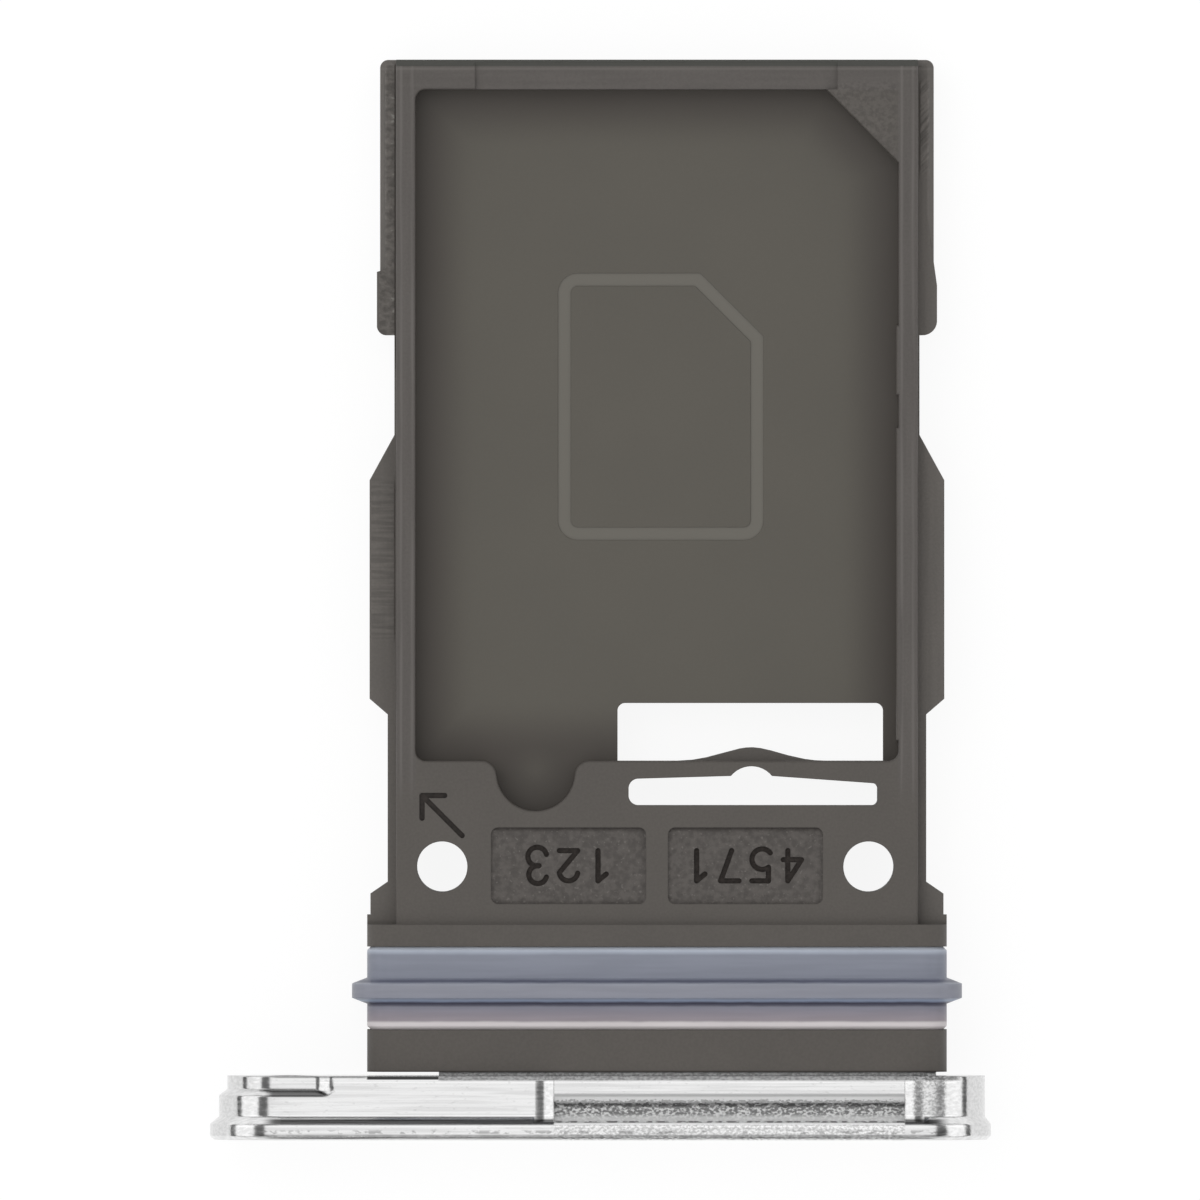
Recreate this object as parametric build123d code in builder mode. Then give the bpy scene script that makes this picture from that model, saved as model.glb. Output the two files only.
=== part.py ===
from build123d import *
import os

# Sim card tray for two nano cards, one on its top face and one on its underside
# Millimetres. X runs across the tray and Y from the outer face of the head to the end that
# goes into the phone first. Z is up through the thickness. The origin lies on the outer face
# of the head, at the middle of the plug's width and of the tray's thickness.

# Card, and the play round it in its pocket
card_width = 8.80
card_length = 12.30
card_thickness = 0.67
card_side_play = 0.075
card_end_play = 0.07
card_sink = 0.03

# Sheet between the two pockets, and the outline pressed into its top face
sheet_thickness = 0.20
sheet_bite = 0.17
mark_width = 3.81
mark_length = 4.95
mark_cut = 1.17
mark_corner_r = 0.37
mark_line = 0.24
mark_depth = 0.02
mark_from_left = 2.64
mark_from_near = 4.09

# Window in the sheet, open towards the spring bar
window_width = 4.92
window_length = 1.07
window_corner_r = 0.14
window_side_strip = 0.285

# Pocket walls
side_wall = 0.355
end_wall = 0.55
pocket_corner_r = 0.19
gusset_across = 1.34
gusset_along = 1.36
rim_edge_r = 0.05

# Nail scoop in the pockets' near wall
scoop_from_window = 1.52
scoop_r = 0.73
scoop_setback = 0.20
scoop_mouth_r = 0.28

# Low ribs on the right pocket wall, which take up the card's side play
rib_height = 0.045
rib_start = 0.38
near_rib_length = 5.79
rib_gap = 0.61
far_rib_length = 1.29

# Spring bar: a slot frees it, and a hump on it presses on the ends of both cards
bar_left_thickness = 0.335
bar_middle_thickness = 0.28
bar_right_thickness = 0.42
slot_length = 4.61
slot_width = 0.49
slot_setback = 0.105
slot_left_r = 0.18
slot_right_r = 0.10
hump_shift_x = -0.03
hump_height = 0.25
hump_half_width = 1.38
hump_drop = 0.25
dimple_half_width = 0.38
dimple_wall = 0.10

# End bar, which goes into the phone first
end_relief_left = 1.105
end_relief_right = 1.13
end_relief_depth = 0.07
end_chamfer = 0.12
end_corner_r = 0.15

# Guide rails: how far each stretch stands out from the rim, and how long it is
rail_thickness = 0.80
foot_out = 0.48
foot_length = 0.39
foot_slant = 0.22
waist_out = 0.16
waist_length = 3.10
middle_out = 0.495
middle_near_slant = 0.29
middle_length = 4.05
middle_far_slant = 0.84
neck_out = 0.035
neck_length = 1.85
bulge_out = 0.36
bulge_left_length = 1.17
bulge_left_slant = 0.02
bulge_left_r = 0.17
bulge_right_length = 0.92
bulge_right_slant = 0.43
bulge_right_r = 0.26
upper_out = 0.30

# Deck between the collar and the pockets, with two locating holes and two sunk panels
deck_length = 3.03
hole_from_collar = 1.07
hole_inset = 0.88
hole_r = 0.468
hole_shift_x = -0.03
panel_gap = 0.41
panel_from_hole = 0.41
panel_from_collar = 0.38
panel_from_slot = 0.41
panel_corner_r = 0.13
panel_depth = 0.06

# Marks engraved in the deck
numeral_height = 0.56
numeral_width = 0.34
numeral_pitch = 0.58
stroke_width = 0.095
engrave_depth = 0.05
arrow_length = 1.05
arrow_barb = 0.42
arrow_from_hole = 0.48

# Collar, plug, and the groove that the seal sits in
collar_out = 0.54
collar_rise = 0.12
collar_corner_r = 0.45
collar_length = 0.41
collar_foot = 0.18
groove_width = 1.54
groove_depth = 0.35
plug_length = 0.78

# Seal
lip_height = 0.28
lip_from_near = 0.48
lip_root_width = 0.48
lip_tip_width = 0.26
seal_edge_bevel = 0.07

# Head: flange, body behind it, and the seat under the plug
head_left_out = 2.917
head_right_out = 0.824
head_margin = 0.10
flange_thickness = 0.29
flange_slant = 0.14
face_bevel = 0.07
body_length = 0.755
body_step = 0.14
body_shift_x = 0.027
seat_height = 0.075
seat_left_inset = 1.33
seat_right_inset = 0.20
seat_drop = 0.15

# Head: relief round its left end, recess in its top face, and ejector pin hole
relief_step = 0.155
relief_length = 0.365
relief_slant = 0.12
relief_from_plug = 0.57
relief_corner_r = 0.25
relief_ramp = 0.44
recess_length = 6.50
recess_from_plug_edge = 0.78
recess_rail_width = 0.335
recess_rail_drop = 0.13
recess_slope_width = 0.17
recess_slope_drop = 0.15
recess_floor_drop = 0.38
recess_lip = 0.03
recess_end_r = 0.78
recess_end_width = 0.36
recess_end_drop = 0.15
pin_hole_r = 0.45
pin_hole_from_end = 1.487
pin_hole_bevel = 0.06

# Head: tang inside the plug
tang_inset = 1.47
tang_thickness = 0.40
tang_length = 2.00
tang_hole_r = 0.45
tang_hole_pitch = 2.60
tang_hole_from_tip = 0.80

# Places along the tray, from the outer face of the head
body_near_y = flange_thickness + flange_slant
body_far_y = body_near_y + body_length
plug_near_y = body_far_y + seat_height
groove_near_y = plug_near_y + plug_length
groove_far_y = groove_near_y + groove_width
collar_far_y = groove_far_y + collar_length
pocket_near_y = collar_far_y + deck_length
pocket_far_y = pocket_near_y + card_length + 2 * card_end_play
tray_end_y = pocket_far_y + end_wall
slot_near_y = pocket_near_y - bar_left_thickness - slot_width
hole_y = collar_far_y + hole_from_collar
tang_far_y = plug_near_y + tang_length

# Places across the tray
pocket_half_width = card_width / 2 + card_side_play
rim_half_width = pocket_half_width + side_wall
collar_half_width = rim_half_width + collar_out
window_right_x = pocket_half_width - window_side_strip
window_left_x = window_right_x - window_width
scoop_x = window_left_x - scoop_from_window
slot_right_x = window_right_x - slot_setback
slot_left_x = slot_right_x - slot_length
hump_x = (slot_left_x + slot_right_x) / 2 + hump_shift_x
hole_x = rim_half_width - hole_inset
panel_width = hole_x - hole_r - panel_from_hole - panel_gap / 2
head_left_x = -collar_half_width - head_left_out
head_right_x = collar_half_width + head_right_out
body_left_x = head_left_x + body_step + body_shift_x
body_right_x = head_right_x - body_step + body_shift_x
relief_right_x = -collar_half_width - relief_from_plug
recess_right_x = collar_half_width - recess_from_plug_edge

# Heights from the middle of the thickness
frame_half_height = sheet_thickness / 2 + card_thickness + card_sink
collar_half_height = frame_half_height + collar_rise
head_half_height = collar_half_height + lip_height + head_margin
body_half_height = head_half_height - body_step
panel_floor_z = frame_half_height - panel_depth


def across(y):
    """Plane across the tray, at a distance y from the outer face of the head."""
    return Plane.XZ.offset(-y)


def plug_section(inset):
    """Rounded section of the plug, drawn in by an inset. A negative inset makes it larger."""
    RectangleRounded(
        2 * (collar_half_width - inset),
        2 * (collar_half_height - inset),
        collar_corner_r * (1 - inset / collar_half_height),
    )


def pill(left_x, right_x, half_height):
    """Pill-shaped section of the head between two end points."""
    with Locations(((left_x + right_x) / 2, 0)):
        SlotOverall(right_x - left_x, 2 * half_height)


def bay_outline(margin):
    """Outline of a card pocket with its nail scoop, grown all round by a margin."""
    half_width = pocket_half_width + margin
    near_y = pocket_near_y - margin
    far_y = pocket_far_y + margin
    with BuildSketch() as bay:
        with BuildLine():
            Polyline(
                (-half_width, near_y),
                (half_width, near_y),
                (half_width, far_y - gusset_along),
                (half_width - gusset_across, far_y),
                (-half_width, far_y),
                close=True,
            )
        make_face()
        square_corners = bay.vertices().sort_by(Axis.X)[:2]
        square_corners += bay.vertices().group_by(Axis.Y)[0].sort_by(Axis.X)[-1:]
        fillet(square_corners, pocket_corner_r + margin)
        with Locations((scoop_x, pocket_near_y - scoop_setback)):
            Circle(scoop_r + margin)
    return bay.sketch


def rail_side(bulge_length, bulge_slant):
    """Outline of the right-hand guide rail, from the collar to the insertion end."""
    foot_near_y = collar_far_y + collar_foot
    foot_far_y = foot_near_y + foot_length
    waist_near_y = foot_far_y + foot_slant
    waist_far_y = waist_near_y + waist_length
    middle_near_y = waist_far_y + middle_near_slant
    middle_far_y = middle_near_y + middle_length
    neck_near_y = middle_far_y + middle_far_slant
    bulge_near_y = neck_near_y + neck_length
    bulge_far_y = bulge_near_y + bulge_length
    return [
        (collar_half_width, groove_far_y),
        (collar_half_width, foot_near_y),
        (rim_half_width + foot_out, foot_near_y),
        (rim_half_width + foot_out, foot_far_y),
        (rim_half_width + waist_out, waist_near_y),
        (rim_half_width + waist_out, waist_far_y),
        (rim_half_width + middle_out, middle_near_y),
        (rim_half_width + middle_out, middle_far_y),
        (rim_half_width + neck_out, neck_near_y),
        (rim_half_width + neck_out, bulge_near_y),
        (rim_half_width + bulge_out, bulge_near_y),
        (rim_half_width + bulge_out, bulge_far_y),
        (rim_half_width + upper_out, bulge_far_y + bulge_slant),
        (rim_half_width + upper_out, tray_end_y),
    ]


# Strokes of the engraved numerals
# They are drawn on a grid one wide and two high about each numeral's middle. Two points make
# a straight stroke and three points make an arc.
numeral_strokes = {
    "1": [[(-0.35, 0.55), (0.1, 1)], [(0.1, 1), (0.1, -1)]],
    "2": [[(-0.5, 0.5), (0, 1), (0.5, 0.45)], [(0.5, 0.45), (-0.5, -1)], [(-0.5, -1), (0.5, -1)]],
    "3": [[(-0.5, 0.75), (0.45, 0.5), (-0.1, 0)], [(-0.1, 0), (0.5, -0.5), (-0.5, -0.75)]],
    "4": [[(0.25, -1), (0.25, 1)], [(0.25, 1), (-0.5, -0.4)], [(-0.5, -0.4), (0.5, -0.4)]],
    "5": [[(0.5, 1), (-0.4, 1)], [(-0.4, 1), (-0.4, 0.1)], [(-0.4, 0.1), (0.5, -0.4), (-0.5, -0.85)]],
    "7": [[(-0.5, 1), (0.5, 1)], [(0.5, 1), (-0.1, -1)]],
}


def engrave_stroke(points):
    """Band of the stroke's width along a straight or curved line."""
    with BuildLine(mode=Mode.PRIVATE) as line:
        if len(points) == 2:
            Line(*points)
        else:
            ThreePointArc(*points)
    trace(line.edges(), stroke_width)
    with Locations(points[0], points[-1]):
        Circle(stroke_width / 2)


def engrave_numerals(digits, mid_x, mid_y):
    """Row of numerals that reads upright with the insertion end towards the reader."""
    for place, digit in enumerate(digits):
        digit_x = mid_x + ((len(digits) - 1) / 2 - place) * numeral_pitch
        for stroke in numeral_strokes[digit]:
            engrave_stroke(
                [
                    (digit_x - x * numeral_width, mid_y - y * numeral_height / 2)
                    for x, y in stroke
                ]
            )


def engrave_arrow(mid_x, mid_y):
    """Arrow across the corner of the deck, pointing to the insertion end and the left."""
    reach = arrow_length / 2 * 0.5**0.5
    tip = (mid_x - reach, mid_y + reach)
    engrave_stroke([tip, (mid_x + reach, mid_y - reach)])
    engrave_stroke([tip, (mid_x - reach + arrow_barb, mid_y + reach)])
    engrave_stroke([tip, (mid_x - reach, mid_y + reach - arrow_barb)])


# Head plate: milled and polished aluminium
# A pill-shaped flange closes the opening in the phone's side. Behind it a smaller body has a
# relief round its left end, a recess milled into the right half of its top face, and a tang
# with holes, which the plug is moulded round.
with BuildPart() as relief:
    relief_near_y = body_far_y - relief_length
    with BuildSketch():
        with Locations((relief_right_x, relief_near_y)):
            Rectangle(2 * head_left_out, 2 * relief_length, align=(Align.MAX, Align.MIN))
        inner_corner = vertices().group_by(Axis.Y)[0].sort_by(Axis.X)[-1]
        fillet(inner_corner, relief_corner_r)
    extrude(amount=2 * head_half_height, both=True)
    with BuildSketch(across(relief_near_y)):
        pill(body_left_x, body_right_x, body_half_height)
    with BuildSketch(across(relief_near_y + relief_slant)):
        pill(body_left_x + relief_step, body_right_x, body_half_height - relief_step)
    loft(mode=Mode.SUBTRACT)
    with BuildSketch(across(relief_near_y + 2 * relief_length)):
        pill(body_left_x + relief_step, body_right_x, body_half_height - relief_step)
    extrude(amount=2 * relief_length - relief_slant, mode=Mode.SUBTRACT)

    # Ramps at the right end of the relief, one on each face
    with BuildSketch(across(2 * body_far_y)):
        with BuildLine():
            ramp = Spline(
                (relief_right_x - relief_ramp, body_half_height - relief_step),
                (relief_right_x, body_half_height),
                tangents=((1, 0), (1, 0)),
            )
            Polyline(ramp @ 1, (relief_right_x, 0), (relief_right_x - relief_ramp, 0), ramp @ 0)
        make_face()
        mirror(about=Plane.XZ)
    extrude(amount=2 * body_far_y, mode=Mode.SUBTRACT)

with BuildPart() as head_plate:
    with BuildSketch(across(flange_thickness)):
        pill(head_left_x, head_right_x, head_half_height)
    extrude(amount=flange_thickness)
    chamfer(head_plate.faces().sort_by(Axis.Y)[0].edges(), face_bevel)
    with BuildSketch(across(flange_thickness)):
        pill(head_left_x, head_right_x, head_half_height)
    with BuildSketch(across(body_near_y)):
        pill(body_left_x, body_right_x, body_half_height)
    loft()
    with BuildSketch(across(body_far_y)):
        pill(body_left_x, body_right_x, body_half_height)
    extrude(amount=body_length)
    add(relief.part, mode=Mode.SUBTRACT)

    # Recess in the top face: a rough groove beside the flange, a slope and a lower rail
    recess_near_y = flange_thickness + recess_lip
    recess_rail_y = body_far_y - recess_rail_width
    recess_slope_y = recess_rail_y - recess_slope_width
    recess_left_x = recess_right_x - recess_length
    with BuildSketch(Plane.YZ.offset(recess_left_x)):
        with BuildLine():
            Polyline(
                (recess_near_y, body_half_height - recess_floor_drop),
                (recess_slope_y, body_half_height - recess_floor_drop),
                (recess_slope_y, body_half_height - recess_rail_drop - recess_slope_drop),
                (recess_rail_y, body_half_height - recess_rail_drop),
                (2 * body_far_y, body_half_height - recess_rail_drop),
                (2 * body_far_y, 2 * head_half_height),
                (recess_near_y, 2 * head_half_height),
                close=True,
            )
        make_face()
    extrude(amount=recess_length, mode=Mode.SUBTRACT)

    # Rounded edges at the two ends of the recess
    with BuildSketch(across(2 * body_far_y)):
        with BuildLine():
            left_round = RadiusArc(
                (recess_left_x - recess_end_width, body_half_height),
                (recess_left_x, body_half_height - recess_end_drop),
                recess_end_r,
            )
            right_round = RadiusArc(
                (recess_right_x, body_half_height - recess_end_drop),
                (recess_right_x + recess_end_width, body_half_height),
                recess_end_r,
            )
            Line(left_round @ 1, right_round @ 0)
            Polyline(
                right_round @ 1,
                (recess_right_x + recess_end_width, 2 * head_half_height),
                (recess_left_x - recess_end_width, 2 * head_half_height),
                left_round @ 0,
            )
        make_face()
    extrude(amount=2 * body_far_y - recess_near_y, mode=Mode.SUBTRACT)

    # Hole for the ejector pin
    with BuildSketch(across(body_far_y)):
        with Locations((head_left_x + pin_hole_from_end, 0)):
            Circle(pin_hole_r)
    extrude(amount=body_far_y, mode=Mode.SUBTRACT)
    pin_hole_mouth = head_plate.faces().sort_by(Axis.Y)[0].inner_wires()[0].edges()
    chamfer(pin_hole_mouth, pin_hole_bevel)

    # Seat under the plug, and the tang inside it
    with BuildSketch(across(plug_near_y)):
        with Locations((seat_left_inset - collar_half_width, 0)):
            Rectangle(
                2 * collar_half_width - seat_left_inset - seat_right_inset,
                2 * (collar_half_height - seat_drop),
                align=(Align.MIN, Align.CENTER),
            )
    extrude(amount=seat_height)
    with BuildSketch(across(tang_far_y)):
        Rectangle(2 * (collar_half_width - tang_inset), tang_thickness)
    extrude(amount=tang_far_y - body_far_y)
    with BuildSketch():
        with Locations((0, tang_far_y - tang_hole_from_tip)):
            with GridLocations(tang_hole_pitch, 0, 3, 1):
                Circle(tang_hole_r)
    extrude(amount=tang_thickness, both=True, mode=Mode.SUBTRACT)

head_plate.part.label = "head_plate"


# Separator plate: painted steel sheet whose edges are held in the moulding
# It is the floor of both pockets. Its window is open towards the spring bar, and the outline
# of a card is pressed into its top face.
sheet_bay = bay_outline(sheet_bite)

with BuildPart() as separator_plate:
    with BuildSketch() as sheet_outline:
        add(sheet_bay)
        with Locations((window_left_x, pocket_near_y + window_length)):
            Rectangle(
                window_width,
                window_length + 2 * sheet_bite,
                align=(Align.MIN, Align.MAX),
                mode=Mode.SUBTRACT,
            )
        window_end = vertices().filter_by(
            lambda corner: abs(corner.Y - pocket_near_y - window_length) < rim_edge_r
            and abs(corner.X) < window_right_x + rim_edge_r
        )
        fillet(window_end, window_corner_r)
    extrude(amount=sheet_thickness / 2, both=True)

    # Pressed outline of a card
    mark_left_x = mark_from_left - pocket_half_width
    mark_near_y = pocket_near_y + mark_from_near
    with BuildSketch(Plane.XY.offset(sheet_thickness / 2)):
        with BuildLine():
            Polyline(
                (mark_left_x, mark_near_y),
                (mark_left_x + mark_width, mark_near_y),
                (mark_left_x + mark_width, mark_near_y + mark_length - mark_cut),
                (mark_left_x + mark_width - mark_cut, mark_near_y + mark_length),
                (mark_left_x, mark_near_y + mark_length),
                close=True,
            )
        make_face()
        square_corners = vertices().sort_by(Axis.X)[:2]
        square_corners += vertices().group_by(Axis.Y)[0].sort_by(Axis.X)[-1:]
        fillet(square_corners, mark_corner_r)
        offset(amount=-mark_line, mode=Mode.SUBTRACT)
    extrude(amount=-mark_depth, mode=Mode.SUBTRACT)

separator_plate.part.label = "separator_plate"


# Tray frame: one moulding in dark filled plastic
# The rim, the rails, the deck, the collar and the plug are one piece. The separator plate and
# the tang of the head are moulded into it.
pocket_bay = bay_outline(0)

# Opening of the pockets through the frame, with rounded mouths beside the scoop and ribs on
# its right wall
with BuildSketch() as pocket_opening:
    add(pocket_bay)
    scoop_mouth = vertices().filter_by(
        lambda corner: abs(corner.Y - pocket_near_y) < rim_edge_r
        and abs(corner.X - scoop_x) < scoop_r
    )
    fillet(scoop_mouth, scoop_mouth_r)
    far_rib_start = rib_start + near_rib_length + rib_gap
    for start, length in ((rib_start, near_rib_length), (far_rib_start, far_rib_length)):
        with Locations((pocket_half_width - rib_height, pocket_near_y + start)):
            Rectangle(
                2 * rib_height,
                length,
                align=(Align.MIN, Align.MIN),
                mode=Mode.SUBTRACT,
            )

with BuildPart() as tray_frame:
    # Guide rails, with a different bulge on each side
    right_side = rail_side(bulge_right_length, bulge_right_slant)
    left_side = [(-x, y) for x, y in rail_side(bulge_left_length, bulge_left_slant)]
    with BuildSketch():
        with BuildLine():
            Polyline(right_side + left_side[::-1], close=True)
        make_face()
        fillet(vertices().group_by(Axis.Y)[-1], end_corner_r)
        bulge_corner = vertices().sort_by_distance((right_side[10][0], right_side[10][1], 0))[0]
        fillet(bulge_corner, bulge_right_r)
        bulge_corner = vertices().sort_by_distance((left_side[10][0], left_side[10][1], 0))[0]
        fillet(bulge_corner, bulge_left_r)
    extrude(amount=rail_thickness / 2, both=True)

    # Deck and rim, with the opening of the pockets
    with BuildSketch():
        with Locations((0, groove_far_y)):
            Rectangle(
                2 * rim_half_width,
                tray_end_y - groove_far_y,
                align=(Align.CENTER, Align.MIN),
            )
    extrude(amount=frame_half_height, both=True)
    with BuildSketch():
        add(pocket_opening.sketch)
    extrude(amount=frame_half_height, both=True, mode=Mode.SUBTRACT)

    # Lead-in at the insertion end, and softened edges round the rim and the pockets
    end_face = tray_frame.faces().sort_by(Axis.Y)[-1]
    chamfer(end_face.edges().filter_by(Axis.X), end_chamfer)
    level_faces = tray_frame.faces().filter_by(Plane.XY).sort_by(Axis.Z)
    fillet(level_faces[0].edges() + level_faces[-1].edges(), rim_edge_r)

    # Lowered stretch of the end bar, on both faces
    with BuildSketch(across(tray_end_y)):
        end_relief_x = (end_relief_left - end_relief_right) / 2
        with Locations((end_relief_x, frame_half_height), (end_relief_x, -frame_half_height)):
            Rectangle(
                2 * pocket_half_width - end_relief_left - end_relief_right,
                2 * end_relief_depth,
            )
    extrude(amount=end_wall, mode=Mode.SUBTRACT)

    # Collar, core inside the seal, and plug
    with BuildSketch(across(collar_far_y)):
        plug_section(0)
    extrude(amount=collar_length)
    with BuildSketch(across(groove_far_y)):
        plug_section(groove_depth)
    extrude(amount=groove_width)
    with BuildSketch(across(groove_near_y)):
        plug_section(0)
    extrude(amount=plug_length)

    # Spring bar: the slot behind it, with a dimple, and the hump in front
    with BuildSketch():
        bar_middle_y = pocket_near_y - bar_middle_thickness
        with BuildLine():
            Polyline(
                (slot_left_x, slot_near_y),
                (slot_right_x, slot_near_y),
                (slot_right_x, pocket_near_y - bar_right_thickness),
                (hump_x + dimple_half_width, bar_middle_y),
                (hump_x - dimple_half_width, bar_middle_y),
                (slot_left_x, pocket_near_y - bar_left_thickness),
                close=True,
            )
        make_face()
        fillet(vertices().group_by(Axis.X)[0], slot_left_r)
        fillet(vertices().group_by(Axis.X)[-1], slot_right_r)
        with BuildLine():
            dimple = ThreePointArc(
                (hump_x - dimple_half_width, bar_middle_y),
                (hump_x, pocket_near_y - dimple_wall),
                (hump_x + dimple_half_width, bar_middle_y),
            )
            Line(dimple @ 0, dimple @ 1)
        make_face()
    extrude(amount=frame_half_height, both=True, mode=Mode.SUBTRACT)
    with BuildSketch():
        with BuildLine():
            hump = Spline(
                (hump_x - hump_half_width, pocket_near_y),
                (hump_x, pocket_near_y + hump_height),
                (hump_x + hump_half_width, pocket_near_y),
                tangents=((1, 0), (1, 0)),
            )
            Line(hump @ 0, hump @ 1)
        make_face()
    extrude(amount=frame_half_height - hump_drop, both=True)

    # Locating holes
    with BuildSketch():
        with Locations((hole_shift_x, hole_y)):
            with GridLocations(2 * hole_x, 0, 2, 1):
                Circle(hole_r)
    extrude(amount=frame_half_height, both=True, mode=Mode.SUBTRACT)

    # Sunk panels, numerals in them, and an arrow beside the left hole, all in the top face
    panel_near_y = collar_far_y + panel_from_collar
    panel_height = slot_near_y - panel_from_slot - panel_near_y
    panel_mid_y = panel_near_y + panel_height / 2
    with BuildSketch(Plane.XY.offset(panel_floor_z)):
        with Locations((0, panel_mid_y)):
            with GridLocations(panel_gap + panel_width, 0, 2, 1):
                RectangleRounded(panel_width, panel_height, panel_corner_r)
    extrude(amount=panel_depth, mode=Mode.SUBTRACT)
    panel_mid_x = (panel_gap + panel_width) / 2
    with BuildSketch(Plane.XY.offset(panel_floor_z)):
        engrave_numerals("123", -panel_mid_x, panel_mid_y)
        engrave_numerals("4571", panel_mid_x, panel_mid_y)
    extrude(amount=-engrave_depth, mode=Mode.SUBTRACT)
    with BuildSketch(Plane.XY.offset(frame_half_height)):
        engrave_arrow(hole_shift_x - hole_x, hole_y + hole_r + arrow_from_hole)
    extrude(amount=-engrave_depth, mode=Mode.SUBTRACT)

    # What is moulded in
    add(separator_plate.part, mode=Mode.SUBTRACT)
    add(head_plate.part, mode=Mode.SUBTRACT)

tray_frame.part.label = "tray_frame"


# Seal: one silicone ring, seated in the groove round the plug, with a lip all round
with BuildPart() as seal:
    lip_root_near_y = groove_near_y + lip_from_near
    lip_root_far_y = lip_root_near_y + lip_root_width
    lip_slant = (lip_root_width - lip_tip_width) / 2
    with BuildSketch(across(groove_far_y)):
        plug_section(0)
    extrude(amount=groove_width)
    band_ends = seal.faces().filter_by(Axis.Y)
    chamfer(band_ends.edges(), seal_edge_bevel)
    with BuildSketch(across(lip_root_near_y)):
        plug_section(0)
    with BuildSketch(across(lip_root_near_y + lip_slant)):
        plug_section(-lip_height)
    loft()
    with BuildSketch(across(lip_root_far_y - lip_slant)):
        plug_section(-lip_height)
    extrude(amount=lip_tip_width)
    with BuildSketch(across(lip_root_far_y - lip_slant)):
        plug_section(-lip_height)
    with BuildSketch(across(lip_root_far_y)):
        plug_section(0)
    loft()
    with BuildSketch(across(groove_far_y)):
        plug_section(groove_depth)
    extrude(amount=groove_width, mode=Mode.SUBTRACT)

seal.part.label = "seal"

os.makedirs("parts", exist_ok=True)
for piece in (head_plate, tray_frame, separator_plate, seal):
    export_step(piece.part, f"parts/{piece.part.label}.step")
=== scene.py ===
import math

import bpy
from mathutils import Euler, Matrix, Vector


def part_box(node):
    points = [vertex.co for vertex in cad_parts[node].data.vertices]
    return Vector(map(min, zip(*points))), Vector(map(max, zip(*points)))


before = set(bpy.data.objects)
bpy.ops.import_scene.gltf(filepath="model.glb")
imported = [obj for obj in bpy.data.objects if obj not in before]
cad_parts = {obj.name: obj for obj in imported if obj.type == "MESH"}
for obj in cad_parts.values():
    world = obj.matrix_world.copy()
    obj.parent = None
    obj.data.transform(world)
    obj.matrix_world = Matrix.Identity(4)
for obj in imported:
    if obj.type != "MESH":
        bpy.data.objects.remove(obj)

bpy.context.view_layer.update()


# Tray frame. The real piece is one injection moulding in dark warm grey plastic, filled with
# fibre for stiffness. It has the fine rough skin of a spark-eroded mould, and its rails, holes
# and panels come out of the mould with it.

def linear(red, green, blue):
    """Colour as a shader takes it, from the 0 to 255 values of a colour chart."""
    shares = [value / 255 for value in (red, green, blue)]
    return tuple(s / 12.92 if s <= 0.04045 else ((s + 0.055) / 1.055) ** 2.4 for s in shares) + (1,)


tray_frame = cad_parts["tray_frame"]
_, frame_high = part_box("tray_frame")

deck_colour = linear(87, 83, 79)
rim_colour = linear(89, 85, 82)
rail_colour = linear(97, 93, 89)
rim_highlight_colour = linear(104, 100, 97)
# The dark of engraved marks, also used as painted shade at the plug's foot and under the panels'
# edges
mark_and_shade_colour = linear(44, 39, 36)
panel_colour = linear(86, 82, 79)
speck_and_highlight_colour = linear(112, 108, 104)
bevel_shade_colour = linear(70, 70, 66)
chip_colour = linear(135, 133, 128)

# Places in millimetres. The gusset's edge runs where X and Y add up to its sum.
plug_near_y = 1.26
collar_far_y = 3.99
panel_near_y = 4.37
panel_far_y = 5.79
pocket_near_y = 7.02
pocket_far_y = 19.46
tray_end_y = 20.01
rim_side_x = 4.83
pocket_side_x = 4.475
panel_side_x = 3.25
gusset_sum = 22.58
rail_z = 0.40
deck_z = 0.80
arrow_z = 0.75
panel_z = 0.74
numeral_z = 0.69


def add(tree, kind, settings, inputs):
    """New node with its settings, and with each input set to a value or joined to a socket."""
    node = tree.nodes.new(kind)
    for name, value in settings.items():
        setattr(node, name, value)
    for name, value in inputs.items():
        if isinstance(value, bpy.types.NodeSocket):
            tree.links.new(value, node.inputs[name])
        else:
            node.inputs[name].default_value = value
    return node.outputs[0]


def axes(tree, place):
    """The X, Y and Z of a place, in millimetres."""
    node = tree.nodes.new("ShaderNodeSeparateXYZ")
    tree.links.new(place, node.inputs[0])
    return node.outputs[0], node.outputs[1], node.outputs[2]


def maths(tree, operation, first, second=0.0):
    """One calculation on two values."""
    return add(tree, "ShaderNodeMath", {"operation": operation}, {0: first, 1: second})


def start_material(name):
    """New material: its node tree, its shader, and the place on the piece in millimetres."""
    material = bpy.data.materials.new(name)
    material.use_nodes = True
    tree = material.node_tree
    shader = tree.nodes["Principled BSDF"]
    object_place = tree.nodes.new("ShaderNodeTexCoord").outputs["Object"]
    to_millimetres = {0: object_place, "Scale": 1000}
    place = add(tree, "ShaderNodeVectorMath", {"operation": "SCALE"}, to_millimetres)
    return material, tree, shader, place


moulding, tree, shader, place = start_material("moulding")
x, y, z = axes(tree, place)
side = maths(tree, "ABSOLUTE", x)
height = maths(tree, "ABSOLUTE", z)


def ease(tree, value, start, end, low=0.0, high=1.0):
    """Smooth step from low to high while a value goes from start to end."""
    return add(
        tree,
        "ShaderNodeMapRange",
        {"interpolation_type": "SMOOTHSTEP"},
        {"Value": value, "From Min": start, "From Max": end, "To Min": low, "To Max": high},
    )


def both(tree, *masks):
    """Mask that holds where all of these hold."""
    result = masks[0]
    for mask in masks[1:]:
        result = maths(tree, "MULTIPLY", result, mask)
    return result


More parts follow.
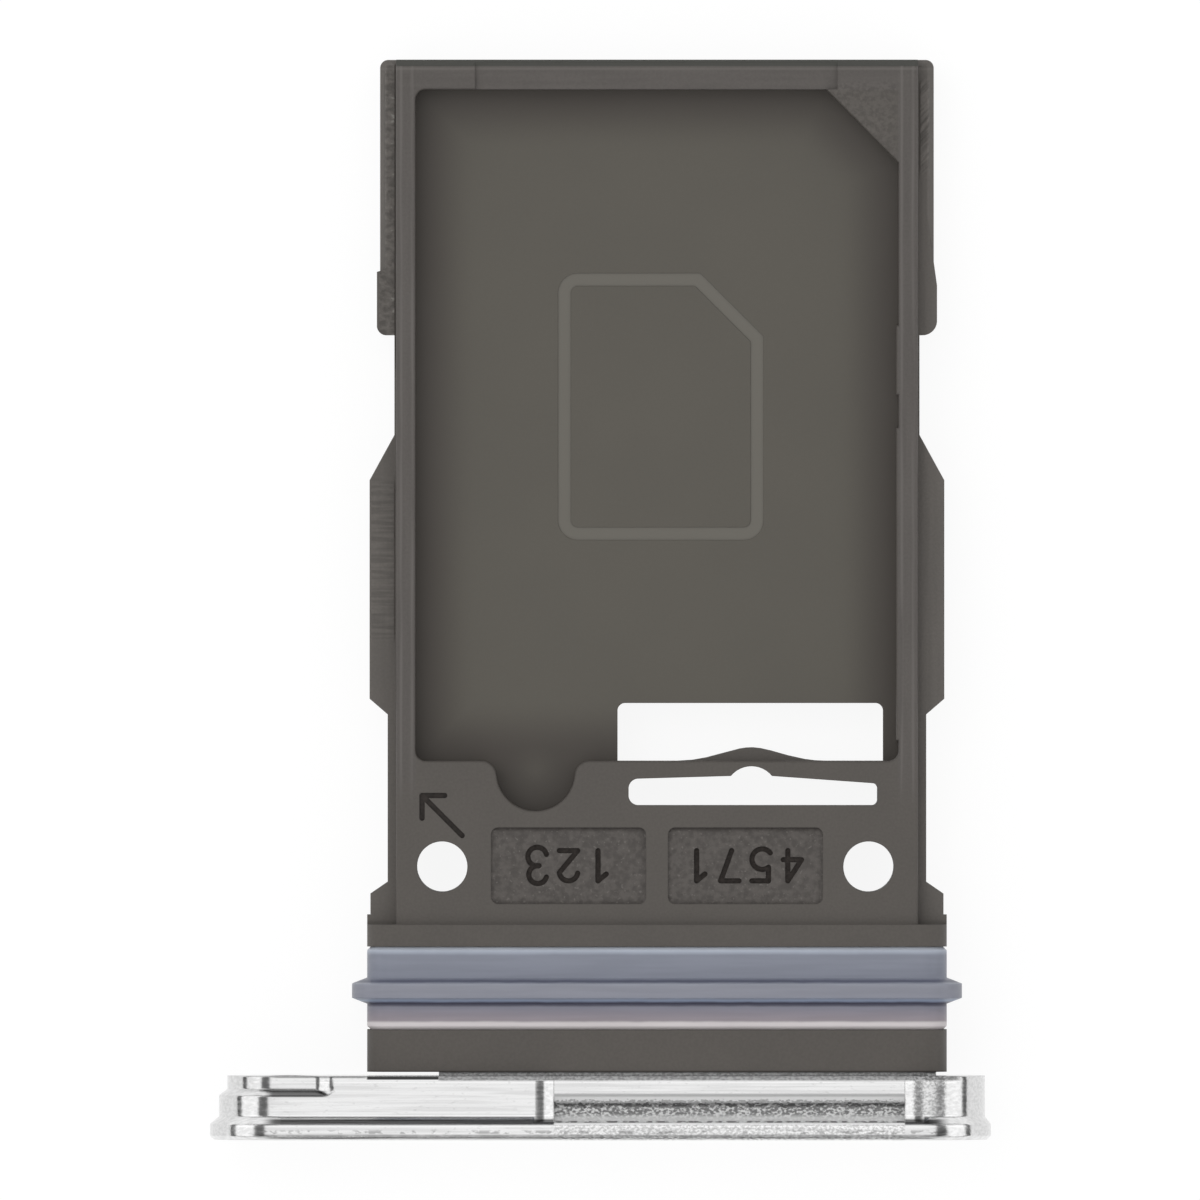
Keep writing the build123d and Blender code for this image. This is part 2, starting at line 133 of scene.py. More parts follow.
def blend(tree, share, first, second, how="MIX"):
    """Colour that goes from the first to the second with a share."""
    node = tree.nodes.new("ShaderNodeMix")
    node.data_type = "RGBA"
    node.blend_type = how
    for number, value in ((0, share), (6, first), (7, second)):
        if isinstance(value, bpy.types.NodeSocket):
            tree.links.new(value, node.inputs[number])
        else:
            node.inputs[number].default_value = value
    return node.outputs[2]


# Rim, rails and deck differ a little in shade
beside_pocket = ease(tree, side, pocket_side_x - 0.02, pocket_side_x)
on_rim = both(tree, beside_pocket, ease(tree, y, pocket_near_y - 1.02, pocket_near_y - 0.02))
on_end_bar = ease(tree, y, pocket_far_y - 0.02, pocket_far_y)
colour = blend(tree, maths(tree, "MAXIMUM", on_rim, on_end_bar), deck_colour, rim_colour)
beside_rim = ease(tree, side, rim_side_x - 0.01, rim_side_x + 0.02)
on_rail = both(tree, beside_rim, ease(tree, y, collar_far_y + 0.01, collar_far_y + 0.11))
colour = blend(tree, on_rail, colour, rail_colour)


def grain(tree, place, scale, detail=2.0, stretch=(1, 1, 1)):
    """Noise from 0 to 1 with so many grains to a millimetre, drawn out by a stretch."""
    if stretch != (1, 1, 1):
        place = add(tree, "ShaderNodeVectorMath", {"operation": "MULTIPLY"}, {0: place, 1: stretch})
    return add(tree, "ShaderNodeTexNoise", {}, {"Vector": place, "Scale": scale, "Detail": detail})


def shaded(tree, colour, value, low, high, darker, lighter):
    """Colour made darker where a noise is low and lighter where it is high."""
    factor = ease(tree, value, low, high, darker, lighter)
    grey = add(tree, "ShaderNodeCombineColor", {}, {0: factor, 1: factor, 2: factor})
    return blend(tree, 1.0, colour, grey, "MULTIPLY")


# Faint flow marks of the moulding, along the rims and across the end bar
flow_along = grain(tree, place, 1.0, 2.0, (9.0, 0.35, 3.0))
flow_across = grain(tree, place, 1.0, 2.0, (0.45, 8.0, 3.0))
colour = blend(tree, on_rim, colour, shaded(tree, colour, flow_along, 0.3, 0.7, 0.96, 1.04))
colour = blend(tree, on_end_bar, colour, shaded(tree, colour, flow_across, 0.3, 0.7, 0.96, 1.04))
cloudy = grain(tree, place, 0.8, 3.0)
colour = shaded(tree, colour, cloudy, 0.35, 0.65, 0.97, 1.03)
speckle = grain(tree, place, 20.0, 2.0)
colour = shaded(tree, colour, speckle, 0.3, 0.7, 0.96, 1.04)

# The plug is in shade where it meets the head
plug_foot = ease(tree, y, plug_near_y + 0.045, plug_near_y)
colour = blend(tree, maths(tree, "MULTIPLY", plug_foot, 0.6), colour, mark_and_shade_colour)


def between(tree, value, start, end, soft):
    """Mask that is 1 between two places and fades to 0 over a soft edge at each."""
    rise = ease(tree, value, start - soft, start + soft)
    fall = ease(tree, value, end - soft, end + soft, 1.0, 0.0)
    return maths(tree, "MULTIPLY", rise, fall)


# Painted highlights along both edges of the rims
outer_highlight = between(tree, side, rim_side_x - 0.11, rim_side_x - 0.07, 0.025)
inner_highlight = between(tree, side, pocket_side_x + 0.04, pocket_side_x + 0.08, 0.025)
rim_highlight = maths(tree, "MAXIMUM", outer_highlight, inner_highlight)
rim_highlight = both(tree, rim_highlight, on_rim, ease(tree, flow_along, 0.3, 0.6, 0.0, 0.8))
colour = blend(tree, rim_highlight, colour, rim_highlight_colour)

# Painted shade on the lead-in bevel at the insertion end, and a painted highlight along its top
past_bevel = ease(tree, y, tray_end_y - 0.13, tray_end_y - 0.11)
on_bevel = both(tree, past_bevel, ease(tree, height, deck_z - 0.18, deck_z - 0.14))
colour = blend(tree, on_bevel, colour, bevel_shade_colour)
bevel_highlight = between(tree, y, tray_end_y - 0.19, tray_end_y - 0.15, 0.02)
colour = blend(tree, maths(tree, "MULTIPLY", bevel_highlight, 0.4), colour, speck_and_highlight_colour)


def patch(tree, x, across, y, along):
    """Mask of a rectangle: across and along each give its two edges and how soft they are."""
    return maths(tree, "MULTIPLY", between(tree, x, *across), between(tree, y, *along))


# Rough marks of the mould, in patches on three stretches of the rails and on the gusset
rail_face = ease(tree, height, rail_z - 0.06, rail_z - 0.02)
left_upper = both(tree, rail_face, patch(tree, x, (-5.16, -4.85, 0.02), y, (14.3, 19.95, 0.25)))
left_middle = both(tree, rail_face, patch(tree, x, (-5.30, -4.86, 0.02), y, (9.3, 12.2, 0.2)))
right_upper = both(tree, rail_face, patch(tree, x, (4.87, 5.16, 0.02), y, (17.9, 19.6, 0.15)))
gusset = both(
    tree,
    ease(tree, height, deck_z - 0.06, deck_z - 0.02),
    ease(tree, maths(tree, "ADD", x, y), gusset_sum - 0.08, gusset_sum + 0.04),
    patch(tree, x, (3.1, 4.45, 0.08), y, (18.1, 19.6, 0.1)),
)
chips = grain(tree, place, 1.0, 3.0, (5.0, 9.0, 5.0))
ticks = grain(tree, place, 1.0, 1.0, (1.2, 13.0, 5.0))
turn = {"Vector": place, "Angle": 0.8}
turned = add(tree, "ShaderNodeVectorRotate", {"rotation_type": "Z_AXIS"}, turn)
scratches = grain(tree, turned, 1.0, 2.0, (14.0, 1.2, 5.0))
sand = grain(tree, place, 13.0, 3.0)
for zone, marks, darker, lighter in (
    (left_upper, chips, 0.80, 1.22),
    (left_middle, ticks, 0.86, 1.12),
    (right_upper, scratches, 0.80, 1.28),
    (gusset, sand, 0.88, 1.12),
):
    colour = blend(tree, zone, colour, shaded(tree, colour, marks, 0.36, 0.64, darker, lighter))
by_rim = between(tree, x, -4.93, -4.86, 0.02)
chip_specks = both(tree, left_upper, by_rim, ease(tree, chips, 0.60, 0.68, 0.0, 0.8))
colour = blend(tree, chip_specks, colour, chip_colour)

# Sunk panels: a coarse eroded floor with small light specks, in shade under both long edges
by_panels = both(
    tree,
    between(tree, y, panel_near_y - 0.17, panel_far_y + 0.16, 0.05),
    ease(tree, side, panel_side_x + 0.05, panel_side_x - 0.05),
)
in_panel = both(tree, by_panels, between(tree, z, numeral_z - 0.03, panel_z + 0.025, 0.01))
coarse = grain(tree, place, 9.0, 3.0)
panel_shade = shaded(tree, panel_colour, coarse, 0.32, 0.68, 0.82, 1.14)
panel_specks = ease(tree, grain(tree, place, 16.0, 1.0), 0.64, 0.74, 0.0, 0.6)
panel_shade = blend(tree, panel_specks, panel_shade, speck_and_highlight_colour)
far_shade = ease(tree, y, panel_far_y - 0.11, panel_far_y, 0.0, 0.65)
panel_shade = blend(tree, far_shade, panel_shade, mark_and_shade_colour)
near_shade = ease(tree, y, panel_near_y + 0.09, panel_near_y, 0.0, 0.2)
panel_shade = blend(tree, near_shade, panel_shade, mark_and_shade_colour)
colour = blend(tree, in_panel, colour, panel_shade)

# Engraved numerals and arrow, dark because the tool burnt their floor
in_numeral = both(tree, by_panels, between(tree, z, numeral_z - 0.03, panel_z - 0.01, 0.005))
by_left_hole = patch(tree, x, (-4.5, -3.4, 0.02), y, (5.55, 6.6, 0.01))
in_arrow = both(tree, by_left_hole, between(tree, z, arrow_z - 0.05, deck_z - 0.01, 0.005))
engraved = maths(tree, "MAXIMUM", in_numeral, in_arrow)
burnt = shaded(tree, mark_and_shade_colour, sand, 0.3, 0.7, 0.8, 1.3)
colour = blend(tree, engraved, colour, burnt)
tree.links.new(colour, shader.inputs["Base Color"])


def bump(tree, height, depth, normal=None):
    """Bump from a height of 0 to 1, whose full depth is given in millimetres."""
    inputs = {"Height": height, "Distance": depth / 1000, "Strength": 1.0}
    if normal is not None:
        inputs["Normal"] = normal
    return add(tree, "ShaderNodeBump", {}, inputs)


def edge_normal(tree, radius):
    """Normal that rounds every sharp edge by a radius in millimetres."""
    return add(tree, "ShaderNodeBevel", {"samples": 8}, {"Radius": radius / 1000})


# Skin of the mould: fine all over, coarse in the panels and the marked zones
rough = ease(tree, cloudy, 0.3, 0.7, 0.50, 0.60)
rough = maths(tree, "ADD", rough, maths(tree, "MULTIPLY", in_panel, 0.15))
tree.links.new(rough, shader.inputs["Roughness"])
shader.inputs["Specular IOR Level"].default_value = 0.3
normal = edge_normal(tree, 0.035)
normal = bump(tree, speckle, 0.003, normal)
for zone, marks, depth in (
    (in_panel, coarse, 0.035),
    (left_upper, chips, 0.05),
    (left_middle, ticks, 0.03),
    (right_upper, scratches, 0.03),
    (gusset, sand, 0.02),
):
    normal = bump(tree, maths(tree, "MULTIPLY", marks, zone), depth, normal)
tree.links.new(normal, shader.inputs["Normal"])
tray_frame.data.materials[0] = moulding


# Separator plate. The real piece is a thin steel sheet with a smooth satin coating in olive grey,
# stamped to shape. The moulding holds its edges, and the outline of a card is pressed into it.

separator_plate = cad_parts["separator_plate"]
coating_colour = linear(88, 84.6, 77.6)
pressed_colour = linear(103, 100, 93)
wall_shade_colour = linear(71, 66, 61.5)
scoop_x = -2.25
scoop_y = 6.82
scoop_r = 0.73
pressed_z = 0.08

coating, tree, shader, place = start_material("coating")
x, y, z = axes(tree, place)
cloudy = grain(tree, place, 0.35, 2.0)
peel = grain(tree, place, 3.5, 2.0)
dust = grain(tree, place, 26.0, 2.0)
colour = shaded(tree, coating_colour, cloudy, 0.35, 0.65, 0.97, 1.03)
colour = shaded(tree, colour, dust, 0.3, 0.7, 0.985, 1.015)

# Painted shade: the coating is made darker near the pocket's walls, where the walls shade it. The
# gusset's wall runs at
# 45 degrees, so its distance is 0.71 of what is left of its sum.
side_gap = maths(tree, "SUBTRACT", pocket_side_x, maths(tree, "ABSOLUTE", x))
far_gap = maths(tree, "SUBTRACT", pocket_far_y, y)
near_gap = maths(tree, "SUBTRACT", y, pocket_near_y)
gusset_gap = maths(tree, "SUBTRACT", gusset_sum, maths(tree, "ADD", x, y))
gusset_gap = maths(tree, "MULTIPLY", gusset_gap, 0.71)
wall_gap = side_gap
for gap in (far_gap, near_gap, gusset_gap):
    wall_gap = maths(tree, "MINIMUM", wall_gap, gap)
scoop_place = add(tree, "ShaderNodeCombineXYZ", {}, {0: x, 1: y})
scoop_span = tree.nodes.new("ShaderNodeVectorMath")
scoop_span.operation = "DISTANCE"
tree.links.new(scoop_place, scoop_span.inputs[0])
scoop_span.inputs[1].default_value = (scoop_x, scoop_y, 0)
scoop_gap = maths(tree, "SUBTRACT", scoop_r, scoop_span.outputs["Value"])
wall_gap = maths(tree, "MAXIMUM", wall_gap, scoop_gap)
colour = blend(tree, ease(tree, wall_gap, 0.15, 1.15, 0.85, 0.0), colour, wall_shade_colour)
pressed = between(tree, z, pressed_z - 0.01, pressed_z + 0.01, 0.005)
colour = blend(tree, pressed, colour, pressed_colour)
tree.links.new(colour, shader.inputs["Base Color"])
tree.links.new(ease(tree, cloudy, 0.3, 0.7, 0.42, 0.5), shader.inputs["Roughness"])
shader.inputs["Specular IOR Level"].default_value = 0.35
normal = edge_normal(tree, 0.02)
normal = bump(tree, peel, 0.004, normal)
tree.links.new(normal, shader.inputs["Normal"])
separator_plate.data.materials[0] = coating


# Seal. The real piece is a ring of soft blue-grey silicone, moulded with a lip all round it and
# stretched over the plug into its groove. Its light near edge is a painted highlight.

def banded(tree, value, start, bands):
    """Colour that runs through bands, each its distance from the start and its chart colour."""
    width = bands[-1][0]
    inputs = {"Value": value, "From Min": start, "From Max": start + width}
    share = add(tree, "ShaderNodeMapRange", {}, inputs)
    node = tree.nodes.new("ShaderNodeValToRGB")
    tree.links.new(share, node.inputs[0])
    elements = node.color_ramp.elements
    while len(elements) < len(bands):
        elements.new(0.5)
    for element, (distance, chart_colour) in zip(elements, bands):
        element.position = distance / width
        element.color = linear(*chart_colour)
    return node.outputs[0]


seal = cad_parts["seal"]
seal_low, seal_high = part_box("seal")
seal_near_y = seal_low.y * 1000
seal_far_y = seal_high.y * 1000

# Across the seal from the head on: a painted highlight on its near edge, a band, a painted shadow
# at the foot of the lip, a painted highlight on the lip's near slant, the lip, a painted highlight
# and a painted shadow at its other foot, and a band that ends in a painted highlight on its far
# edge
seal_bands_and_painted_light = (
    (0.00, (205, 199, 200)),
    (0.13, (205, 199, 200)),
    (0.17, (146, 138, 144)),
    (0.30, (138, 133, 142)),
    (0.42, (132, 132, 144)),
    (0.46, (74, 74, 90)),
    (0.50, (74, 74, 90)),
    (0.54, (146, 160, 184)),
    (0.60, (133, 135, 146)),
    (0.82, (135, 137, 147)),
    (0.86, (148, 152, 164)),
    (0.89, (90, 93, 110)),
    (0.91, (90, 93, 110)),
    (0.95, (131, 135, 148)),
    (1.38, (131, 135, 147)),
    (1.44, (160, 167, 180)),
    (seal_far_y - seal_near_y, (200, 206, 216)),
)

silicone, tree, shader, place = start_material("silicone")
_, y, _ = axes(tree, place)
wavy = grain(tree, place, 2.5, 2.0)
wobble = maths(tree, "MULTIPLY", maths(tree, "SUBTRACT", wavy, 0.5), 0.025)
colour = banded(tree, maths(tree, "ADD", y, wobble), seal_near_y, seal_bands_and_painted_light)
streaks = grain(tree, place, 1.0, 2.0, (0.6, 9.0, 3.0))
colour = shaded(tree, colour, streaks, 0.3, 0.7, 0.96, 1.04)
tree.links.new(colour, shader.inputs["Base Color"])
shader.inputs["Roughness"].default_value = 0.42
shader.inputs["Specular IOR Level"].default_value = 0.4
normal = edge_normal(tree, 0.03)
normal = bump(tree, grain(tree, place, 14.0, 2.0), 0.003, normal)
tree.links.new(normal, shader.inputs["Normal"])
seal.data.materials[0] = silicone


# Head plate. The real piece is milled from an aluminium bar and brushed along its length. The
# cutter left the groove in its recess rough, and the steps at the foot of its flange carry painted
# shade. Its tang is moulded into the plug of the tray frame.

def metal(level):
    """Neutral colour of metal that reflects this share of the light."""
    return (level, level, level, 1)


head_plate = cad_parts["head_plate"]
head_low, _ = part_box("head_plate")

polished_and_highlight_colour = metal(0.93)
groove_near_colour = metal(0.80)
aluminium_colour = metal(0.79)
seat_colour = metal(0.70)
slope_top_shade_colour = metal(0.50)
flash_colour = metal(0.33)
dark_metal_colour = metal(0.30)
groove_colour = metal(0.20)
painted_shadow_colour = metal(0.05)

# Places in millimetres
flange_far_y = 0.29
flange_slant_far_y = 0.43
body_far_y = 1.185
recess_left_x = -1.91
recess_right_x = 4.59
recess_near_y = 0.32
groove_far_y = 0.68
groove_floor_z = 0.78
slope_far_y = 0.85
relief_near_y = 0.82
relief_far_y = 0.94
relief_right_x = -5.94
plug_left_x = -5.37
seat_left_x = -4.04
end_left_x = -7.2
end_right_x = 5.3

aluminium, tree, shader, place = start_material("aluminium")
x, y, z = axes(tree, place)
height = maths(tree, "ABSOLUTE", z)
upper = ease(tree, z, 0.5, 0.6)
body_top = ease(tree, z, 0.9, 1.0)
brushed = grain(tree, place, 1.0, 4.0, (0.5, 16.0, 16.0))
blotched = grain(tree, place, 9.0, 3.0, (0.6, 1.0, 1.0))
blasted = grain(tree, place, 24.0, 3.0, (0.7, 1.0, 1.0))
flecks = grain(tree, place, 22.0, 2.0, (0.45, 1.0, 1.0))
colour = shaded(tree, aluminium_colour, brushed, 0.35, 0.65, 0.90, 1.06)
# Painted highlight lines along the body's far edge, the flange's slant and the flange
flat_faces = ease(tree, height, 0.95, 1.05, 0.0, 0.8)
for line_y in (body_far_y - 0.12, flange_slant_far_y + 0.025, flange_far_y - 0.04):
    highlight_line = both(tree, flat_faces, between(tree, y, line_y - 0.012, line_y + 0.012, 0.01))
    colour = blend(tree, highlight_line, colour, polished_and_highlight_colour)
colour = shaded(tree, colour, flecks, 0.60, 0.75, 1.0, 0.88)

# Recess: the groove is rough and mottled and darker towards its far side; its slope and lip carry
# painted highlights, and painted shadow makes its two edges nearly black in places
beside_recess = both(tree, between(tree, x, recess_left_x, recess_right_x, 0.02), upper)
in_groove = both(tree, beside_recess, between(tree, y, recess_near_y, groove_far_y, 0.02))
# The slope is painted lighter, a painted highlight, with a painted shade along its top
on_slope = both(tree, beside_recess, between(tree, y, groove_far_y, slope_far_y + 0.01, 0.01))
slope_top_shade = ease(tree, y, slope_far_y - 0.07, slope_far_y - 0.02)
slope_painted_light = blend(tree, slope_top_shade, polished_and_highlight_colour, slope_top_shade_colour)
colour = blend(tree, on_slope, colour, slope_painted_light)
# Painted highlight on the lip of the recess
on_lip = both(tree, beside_recess, between(tree, y, flange_far_y - 0.01, recess_near_y, 0.005))
colour = blend(tree, on_lip, colour, polished_and_highlight_colour)
near_half = ease(tree, y, recess_near_y + 0.18, recess_near_y + 0.08)
groove_tone = blend(tree, near_half, groove_colour, groove_near_colour)
groove_mottle = blend(tree, ease(tree, blasted, 0.43, 0.62), groove_tone, polished_and_highlight_colour)
colour = blend(tree, in_groove, colour, groove_mottle)
# Painted shadow in the corner at the foot of the slope, and along the groove's near edge
ragged = maths(tree, "MULTIPLY", maths(tree, "SUBTRACT", blasted, 0.5), 0.20)
ragged_y = maths(tree, "ADD", y, ragged)
foot_shade = between(tree, ragged_y, groove_far_y - 0.03, groove_far_y + 0.05, 0.02)
foot_shade = maths(tree, "MULTIPLY", foot_shade, 0.5)
foot_shadow_line = between(tree, ragged_y, groove_far_y - 0.065, groove_far_y, 0.015)
foot_shadow_line = both(tree, foot_shadow_line, ease(tree, blotched, 0.40, 0.50))
slope_foot_shadow = both(tree, beside_recess, maths(tree, "MAXIMUM", foot_shade, foot_shadow_line))
colour = blend(tree, slope_foot_shadow, colour, painted_shadow_colour)
groove_edge_shadow = both(
    tree,
    beside_recess,
    between(tree, y, recess_near_y - 0.005, recess_near_y + 0.03, 0.008),
    ease(tree, z, groove_floor_z + 0.07, groove_floor_z + 0.03),
    ease(tree, blotched, 0.44, 0.54, 0.0, 0.8),
)
colour = blend(tree, groove_edge_shadow, colour, painted_shadow_colour)

# Painted shade on the steps: from the flange to the body, and round the relief at the left end
step_y = (flange_far_y + 0.005, flange_slant_far_y - 0.04, 0.025)
step_shade = patch(tree, x, (end_left_x, end_right_x, 0.15), y, step_y)
step_shade = both(tree, step_shade, maths(tree, "SUBTRACT", 1.0, beside_recess))
step_shade = maths(tree, "MULTIPLY", step_shade, 0.88)
relief_x = (end_left_x, relief_right_x - 0.2, 0.1)
relief_y = (relief_near_y - 0.02, relief_far_y - 0.03, 0.015)
relief_step_shade = patch(tree, x, relief_x, y, relief_y)
relief_step_shade = maths(tree, "MULTIPLY", relief_step_shade, 0.85)
colour = blend(tree, maths(tree, "MAXIMUM", step_shade, relief_step_shade), colour, painted_shadow_colour)

# Grey seam of moulding flash on the body's far edge and on the seat, in shade under the plug
by_seat = ease(tree, x, seat_left_x - 0.02, seat_left_x + 0.02)
body_edge = both(tree, body_top, between(tree, y, body_far_y - 0.08, body_far_y + 0.01, 0.02))
seat = both(tree, upper, ease(tree, y, body_far_y, body_far_y + 0.005))
seam = both(tree, maths(tree, "MAXIMUM", body_edge, seat), by_seat)
seam_colour = blend(tree, seat, flash_colour, seat_colour)
seam_colour = shaded(tree, seam_colour, blasted, 0.38, 0.62, 0.7, 1.25)
seat_shade = ease(tree, y, plug_near_y - 0.02, plug_near_y, 0.0, 0.8)
seam_colour = blend(tree, seat_shade, seam_colour, painted_shadow_colour)
colour = blend(tree, seam, colour, seam_colour)

# Painted shadow left of the seat, on the body's far edge where the plug nearly meets it, and
# fainter beyond
slot_y = (body_far_y - 0.065, body_far_y - 0.01, 0.008)
slot_shadow = patch(tree, x, (plug_left_x, seat_left_x, 0.02), y, slot_y)
far_y = (body_far_y - 0.04, body_far_y - 0.01, 0.008)
far_edge_shadow = patch(tree, x, (end_left_x + 0.1, plug_left_x, 0.1), y, far_y)
far_edge_shadow = maths(tree, "MULTIPLY", far_edge_shadow, 0.5)
gap_shadow = both(tree, body_top, maths(tree, "MAXIMUM", slot_shadow, far_edge_shadow))
colour = blend(tree, gap_shadow, colour, painted_shadow_colour)

# A darker mottled band and darker specks along the lower edge of the flange, its mottled stretch by
# the recess, and the mottled right end
flange_side = ease(tree, y, flange_far_y + 0.02, flange_far_y - 0.02)
on_flange = both(tree, flange_side, ease(tree, height, 1.18, 1.22))
flange_edge_band = between(tree, y, 0.05, 0.105, 0.02)
flange_edge_band = both(tree, flange_edge_band, ease(tree, blotched, 0.3, 0.6, 0.5, 0.8))
flange_edge_specks = between(tree, y, 0.11, 0.18, 0.03)
flange_edge_specks = both(tree, flange_edge_specks, ease(tree, blotched, 0.50, 0.60, 0.0, 0.7))
flange_edge_dark = both(tree, on_flange, maths(tree, "MAXIMUM", flange_edge_band, flange_edge_specks))
colour = blend(tree, flange_edge_dark, colour, dark_metal_colour)
# Painted highlight on the bevel along the face's edge
face_bevel_highlight = both(tree, ease(tree, height, 1.15, 1.2), between(tree, y, 0.01, 0.022, 0.005))
colour = blend(tree, face_bevel_highlight, colour, polished_and_highlight_colour)
right_boss = both(
    tree,
    between(tree, x, recess_right_x + 0.15, recess_right_x + 0.76, 0.04),
    ease(tree, y, flange_slant_far_y, flange_slant_far_y + 0.04),
    upper,
)
mottled_flange = maths(tree, "MULTIPLY", both(tree, on_flange, beside_recess), 0.9)
mottled = maths(tree, "MAXIMUM", mottled_flange, right_boss)
colour = blend(tree, mottled, colour, shaded(tree, colour, blasted, 0.38, 0.60, 0.70, 1.06))

# Round ends: darker low down
low_end = both(tree, ease(tree, height, 0.95, 0.80), ease(tree, y, 0.05, 0.10))
colour = blend(tree, maths(tree, "MULTIPLY", low_end, 0.20), colour, dark_metal_colour)
tree.links.new(colour, shader.inputs["Base Color"])

# Polished metal shines; the groove, the slope and the seam are dull
dull = both(tree, in_groove, ease(tree, y, recess_near_y, recess_near_y + 0.2, 0.5, 1.0))
for zone, share in (
    (on_slope, 1.0),
    (on_lip, 1.0),
    (seam, 1.0),
    (face_bevel_highlight, 0.6),
    (right_boss, 0.22),
):
    dull = maths(tree, "MAXIMUM", dull, maths(tree, "MULTIPLY", zone, share))
metallic = maths(tree, "SUBTRACT", 1.0, maths(tree, "MULTIPLY", dull, 0.8))
tree.links.new(metallic, shader.inputs["Metallic"])
rough = ease(tree, brushed, 0.3, 0.7, 0.10, 0.17)
rough = maths(tree, "ADD", rough, maths(tree, "MULTIPLY", dull, 0.45))
tree.links.new(rough, shader.inputs["Roughness"])
normal = edge_normal(tree, 0.045)
normal = bump(tree, brushed, 0.0015, normal)
normal = bump(tree, maths(tree, "MULTIPLY", blasted, in_groove), 0.02, normal)
normal = bump(tree, maths(tree, "MULTIPLY", blasted, mottled), 0.003, normal)
tree.links.new(normal, shader.inputs["Normal"])
head_plate.data.materials[0] = aluminium


# Floor. It is plain and nearly white. It is tilted by the small angle at which the tray lies,
# on the lower edge of its head and the far end of its frame.

# Where the tray touches the floor, in metres
head_rest_y = 0.00029
end_chamfer = 0.00012
frame_rest_z = -0.0008
floor_rise = frame_rest_z - head_low.z
floor_run = frame_high.y - end_chamfer - head_rest_y
floor_tilt = math.atan2(floor_rise, floor_run)
floor_size = 2.0

bpy.ops.mesh.primitive_plane_add(size=floor_size, location=(0, head_rest_y, head_low.z))
floor = bpy.context.object
floor.name = "floor"
floor.rotation_euler = Euler((floor_tilt, 0, 0))

floor_white = 0.8
floor_white_seen = 0.12
floor_glow_seen = 0.90
floor_paint = bpy.data.materials.new("floor_paint")
floor_paint.use_nodes = True
tree = floor_paint.node_tree
shader = tree.nodes["Principled BSDF"]
rays = tree.nodes.new("ShaderNodeLightPath")
seen = maths(tree, "MAXIMUM", rays.outputs["Is Camera Ray"], rays.outputs["Is Glossy Ray"])
seen = maths(tree, "MAXIMUM", seen, rays.outputs["Is Transmission Ray"])
white_change = floor_white_seen - floor_white
seen_white = {0: seen, 1: white_change, 2: floor_white}
white = add(tree, "ShaderNodeMath", {"operation": "MULTIPLY_ADD"}, seen_white)
tree.links.new(white, shader.inputs["Base Color"])
shader.inputs["Roughness"].default_value = 0.9
shader.inputs["Specular IOR Level"].default_value = 0.0
tree.links.new(maths(tree, "MULTIPLY", seen, floor_glow_seen), shader.inputs["Emission Strength"])
shader.inputs["Emission Color"].default_value = (1, 1, 1, 1)
floor.data.materials.append(floor_paint)


# Studio: an even soft sky lights the tray. Polished metal sees it as a soft box overhead, a dark
# gap, soft boxes round the sides, and a dim wall beyond the insertion end.

sky_level = 0.80
overhead_level = 1.02
gap_level = 0.16
side_level = 1.15
horizon_level = 0.12
far_wall_dimming = 0.75

# Where the studio's surfaces end, by how high a ray points: 0 is level and 1 is straight up. Each
# fades from its first value to its second. The far wall's side goes by how far in Y it points.
overhead_edge = (0.885, 0.925)
sides_top_edge = (0.76, 0.70)
sides_foot_edge = (0.24, 0.14)
far_wall_side_edge = (0.45, 0.75)
far_wall_top_edge = (0.75, 0.60)

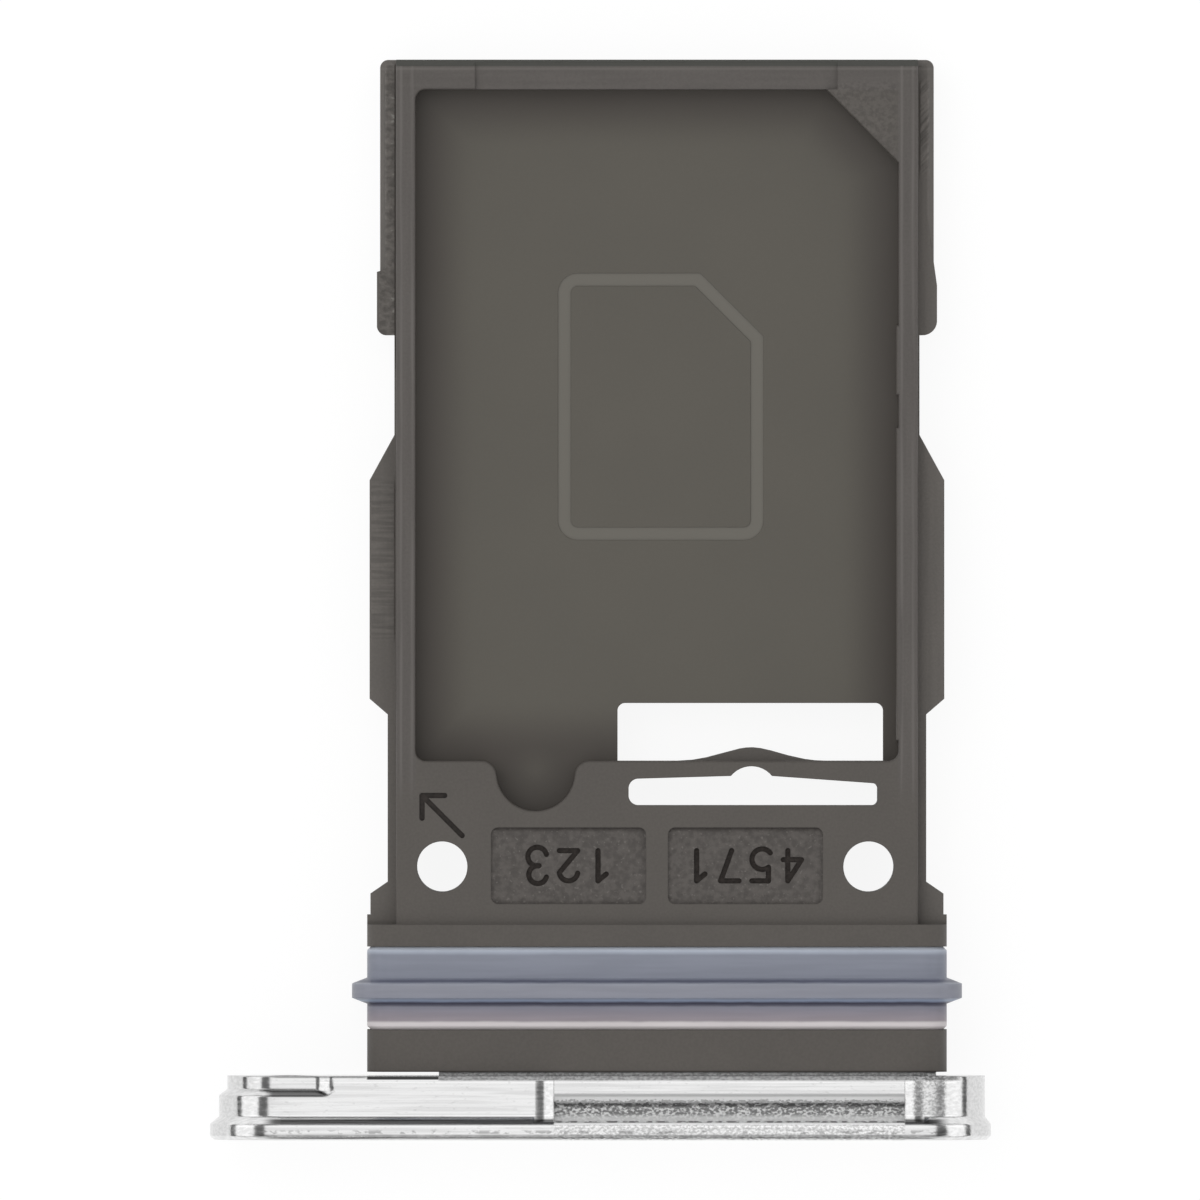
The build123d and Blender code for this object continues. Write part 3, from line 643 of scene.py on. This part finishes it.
world = bpy.data.worlds.new("studio")
bpy.context.scene.world = world
world.use_nodes = True
tree = world.node_tree
background = tree.nodes["Background"]
direction = tree.nodes.new("ShaderNodeTexCoord").outputs["Generated"]
_, dir_y, dir_z = axes(tree, direction)
overhead = ease(tree, dir_z, *overhead_edge, 0.0, overhead_level - gap_level)
sides = ease(tree, dir_z, *sides_top_edge, 0.0, side_level - gap_level)
foot_drop = ease(tree, dir_z, *sides_foot_edge, 0.0, side_level - horizon_level)
level = maths(tree, "ADD", maths(tree, "ADD", overhead, sides), gap_level)
level = maths(tree, "SUBTRACT", level, foot_drop)
far_wall = both(tree, ease(tree, dir_y, *far_wall_side_edge), ease(tree, dir_z, *far_wall_top_edge))
dimming = maths(tree, "MULTIPLY", far_wall, far_wall_dimming)
level = maths(tree, "MULTIPLY", level, maths(tree, "SUBTRACT", 1.0, dimming))
rays = tree.nodes.new("ShaderNodeLightPath")
metal_sees = {0: rays.outputs["Is Glossy Ray"], 2: sky_level, 3: level}
level = add(tree, "ShaderNodeMix", {"data_type": "FLOAT"}, metal_sees)
camera_sees = {0: rays.outputs["Is Camera Ray"], 2: level, 3: 1.0}
level = add(tree, "ShaderNodeMix", {"data_type": "FLOAT"}, camera_sees)
tree.links.new(level, background.inputs["Strength"])
background.inputs["Color"].default_value = (1, 1, 1, 1)

lamp_place = Vector((-0.05, 0.05, 0.15))
tray_middle = Vector((0, 0.01, 0))
lamp_size = 0.12
lamp_watts = 0.06
lamp = bpy.data.lights.new("overhead_lamp", "AREA")
lamp.shape = "SQUARE"
lamp.size = lamp_size
lamp.energy = lamp_watts
lamp_object = bpy.data.objects.new("overhead_lamp", lamp)
lamp_object.location = lamp_place
lamp_object.rotation_euler = (tray_middle - lamp_place).to_track_quat("-Z", "Y").to_euler()
lamp_object.visible_glossy = False
bpy.context.scene.collection.objects.link(lamp_object)


# Camera. It hangs straight above the tray, far off behind a long lens, and its frame takes in
# what the photograph takes in, at the same scale.

photo_pixels = 1200
pixels_per_mm = 54
photo_centre_x = 657
photo_head_y = 1140
view_width = photo_pixels / pixels_per_mm / 1000
camera = bpy.data.cameras.new("camera")
camera.lens = 1200
view_distance = view_width * camera.lens / camera.sensor_width
camera_object = bpy.data.objects.new("camera", camera)
camera_object.location = (
    (photo_pixels / 2 - photo_centre_x) / pixels_per_mm / 1000,
    (photo_head_y - photo_pixels / 2) / pixels_per_mm / 1000,
    frame_high.z + view_distance,
)
camera.clip_start = 0.01
camera.clip_end = 10
bpy.context.scene.collection.objects.link(camera_object)
bpy.context.scene.camera = camera_object
bpy.context.scene.view_settings.view_transform = "Standard"

bpy.context.view_layer.update()
